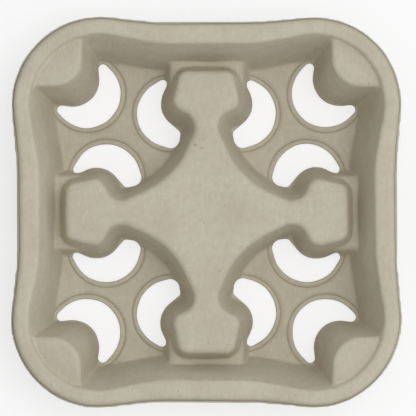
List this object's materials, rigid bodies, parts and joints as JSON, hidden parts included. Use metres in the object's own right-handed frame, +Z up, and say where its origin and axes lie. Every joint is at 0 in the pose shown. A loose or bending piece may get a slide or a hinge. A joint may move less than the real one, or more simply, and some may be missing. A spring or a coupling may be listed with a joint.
{
  "type": "cup carrier tray",
  "caption": "Square moulded-pulp cup carrier tray with a raised star, pads and corner lobes that form springy cup wells, crescent slots and a rolled rim.",
  "frame": {"origin": "on the table, under the middle of the tray", "axes": "+Z up, out of the open side of the cup wells; X and Y square to the tray's sides"},
  "size_m": [0.216, 0.216, 0.0445],
  "materials": {
    "pulp": "matte, fibrous"
  },
  "bodies": {
    "root": {"carrier_tray": "pulp"}
  },
  "joints": []
}
